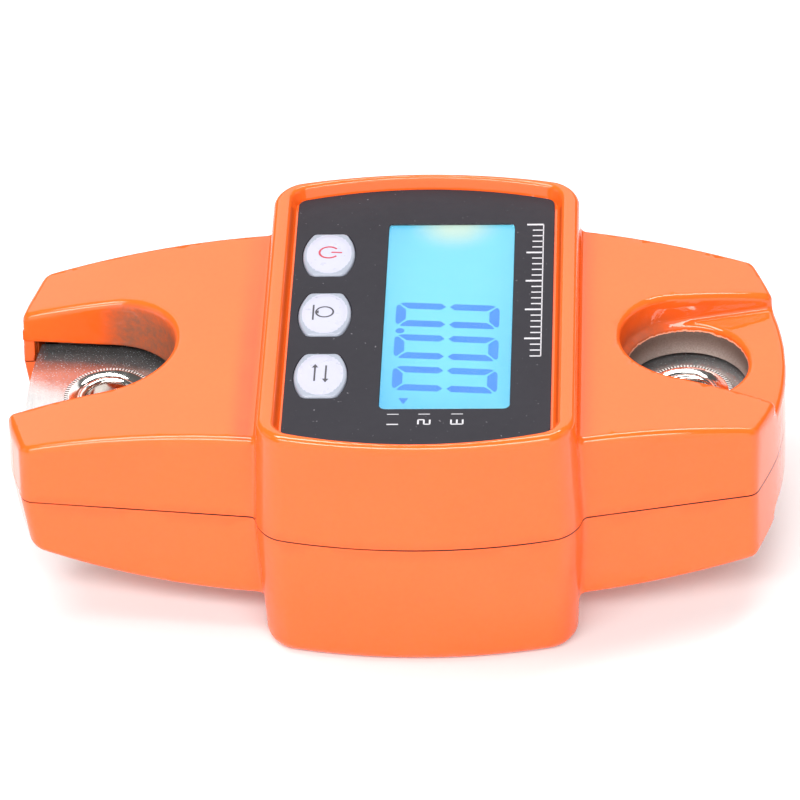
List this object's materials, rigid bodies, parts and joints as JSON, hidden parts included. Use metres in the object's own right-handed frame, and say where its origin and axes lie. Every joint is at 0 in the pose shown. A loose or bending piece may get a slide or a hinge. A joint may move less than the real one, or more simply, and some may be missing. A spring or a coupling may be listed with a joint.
{
  "type": "digital hanging scale",
  "caption": "Compact digital hanging scale: cast two-shell housing round a flat load cell with an eye at each end, a lit display and three keys.",
  "frame": {"origin": "middle of the footprint on the resting (back) face, the scale lying on its back with the display up", "axes": "+X from the load eye towards the suspension eye, +Z through the thickness towards the display, +Y to the far long side"},
  "size_m": [0.1572, 0.0962, 0.0549],
  "materials": {
    "orange_enamel": "glossy orange enamel over a die-cast aluminium shell",
    "orange_enamel_rear": "glossy orange enamel over a die-cast aluminium shell",
    "panel_film": "satin dark grey printed film",
    "window_film": "clear gloss film",
    "key_plastic": "translucent off-white moulded keys",
    "black_plastic": "black moulded plastic",
    "switch_steel": "black moulded switch bodies",
    "lcd_cell": "liquid crystal glass with blue backlight",
    "light_guide": "acrylic light guide",
    "white_plastic": "white moulded frame",
    "tinned_pins": "tinned metal",
    "led_resin": "yellow phosphor resin",
    "foam": "closed-cell foam tape",
    "board_laminate": "green solder mask on glass laminate",
    "chip_epoxy": "black epoxy",
    "capacitor_sleeve": "blue sleeve",
    "zinc_screw": "zinc-plated screws",
    "cell_aluminium": "machined and bead-blasted aluminium plate",
    "gauge_film": "polyimide foil",
    "gauge_rubber": "white silicone coating",
    "black_screw": "black oxide socket screws",
    "nickel": "bright nickel-plated steel with a knurled edge",
    "cell_jacket": "plain printed cell jacket",
    "spring_nickel": "nickel-plated spring steel",
    "wire_red": "insulated lead",
    "wire_grey": "insulated multicore lead",
    "door_plastic": "black fine-textured plastic"
  },
  "bodies": {
    "housing": {"front_housing": "orange_enamel", "rear_housing": "orange_enamel_rear", "face_panel": "panel_film", "display_window": "window_film", "switch_bodies": "switch_steel", "lcd_glass": "lcd_cell", "lcd_backlight": "light_guide", "lcd_frame": "white_plastic", "lcd_pins": "tinned_pins", "backlight_leds": "led_resin", "display_gasket": "foam", "main_board": "board_laminate", "controller_chip": "chip_epoxy", "converter_chip": "chip_epoxy", "crystal": "tinned_pins", "capacitors": "capacitor_sleeve", "board_screws": "zinc_screw", "load_cell": "cell_aluminium", "strain_gauges": "gauge_film", "gauge_coating": "gauge_rubber", "load_cell_screws": "black_screw", "upper_eye_bushing_front": "nickel", "upper_eye_bushing_back": "nickel", "lower_eye_bushing_front": "nickel", "lower_eye_bushing_back": "nickel", "battery_tray": "black_plastic", "battery_cells": "cell_jacket", "battery_spring_contacts": "spring_nickel", "battery_plate_contacts": "spring_nickel", "battery_leads": "wire_red", "load_cell_cable": "wire_grey", "housing_screws": "zinc_screw", "tray_screws": "zinc_screw"},
    "power_key": {"power_button": "key_plastic", "power_switch_plunger": "black_plastic"},
    "tare_key": {"tare_button": "key_plastic", "tare_switch_plunger": "black_plastic"},
    "unit_key": {"unit_button": "key_plastic", "unit_switch_plunger": "black_plastic"},
    "battery_lid": {"battery_door": "door_plastic"}
  },
  "joints": [
    {"name": "power_press", "type": "slide", "parent": "housing", "child": "power_key", "axis": [0, 0, -1], "range_m": [0, 0.0005], "stiffness_N_per_m": 400},
    {"name": "tare_press", "type": "slide", "parent": "housing", "child": "tare_key", "axis": [0, 0, -1], "range_m": [0, 0.0005], "stiffness_N_per_m": 400},
    {"name": "unit_press", "type": "slide", "parent": "housing", "child": "unit_key", "axis": [0, 0, -1], "range_m": [0, 0.0005], "stiffness_N_per_m": 400},
    {"name": "battery_lid_hinge", "type": "hinge", "parent": "housing", "child": "battery_lid", "pos_m": [0.0049, 0.0278, 0.0013], "axis": [1, 0, 0], "range_deg": [0, 80]}
  ]
}
